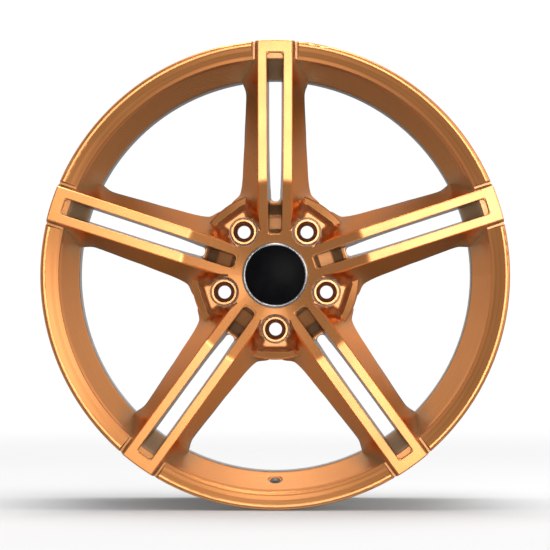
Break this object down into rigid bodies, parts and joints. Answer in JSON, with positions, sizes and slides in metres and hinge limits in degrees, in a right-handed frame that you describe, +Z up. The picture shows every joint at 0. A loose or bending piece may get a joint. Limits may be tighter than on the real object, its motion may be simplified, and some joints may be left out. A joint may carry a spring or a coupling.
{
  "type": "forged racing wheel rim",
  "caption": "Forged racing wheel rim with slotted twin spokes, a rolled lip, a welded inner barrel, bolt seats, an open valve hole and a push-in centre cap.",
  "frame": {"origin": "centre of the hub mounting face, on the wheel axis", "axes": "+Y along the wheel axis towards the car, so the outer face looks towards -Y; +Z up through one spoke; the valve hole is at -Z"},
  "size_m": [0.5168, 0.2397, 0.517],
  "materials": {
    "gold_paint": "forged aluminium under gold candy paint with a clear coat; bare machined metal at the rear",
    "seat_gold": "gold, machined seat",
    "bare_aluminium": "turned bare aluminium",
    "weld_metal": "rippled weld bead",
    "ring_plastic": "matte moulded plastic",
    "cap_black": "high gloss black",
    "cap_chrome": "polished",
    "cap_foam": "foam tape",
    "cap_plastic": "matte moulded plastic",
    "spring_steel": "drawn wire"
  },
  "bodies": {
    "wheel": {"face_forging": "gold_paint", "inner_barrel": "bare_aluminium", "weld_seam": "weld_metal", "lug_seat_1": "seat_gold", "lug_seat_2": "seat_gold", "lug_seat_3": "seat_gold", "lug_seat_4": "seat_gold", "lug_seat_5": "seat_gold"},
    "centre_cap": {"cap_dome": "cap_black", "cap_trim_ring": "cap_chrome", "cap_bonding_pad": "cap_foam", "cap_carrier": "cap_plastic", "cap_spring_ring": "spring_steel"},
    "centring_ring": {"hub_ring": "ring_plastic"}
  },
  "joints": [
    {"name": "cap_pull", "type": "slide", "parent": "wheel", "child": "centre_cap", "axis": [0, -1, 0], "range_m": [0, 0.035]},
    {"name": "ring_pull", "type": "slide", "parent": "wheel", "child": "centring_ring", "axis": [0, 1, 0], "range_m": [0, 0.03]}
  ]
}
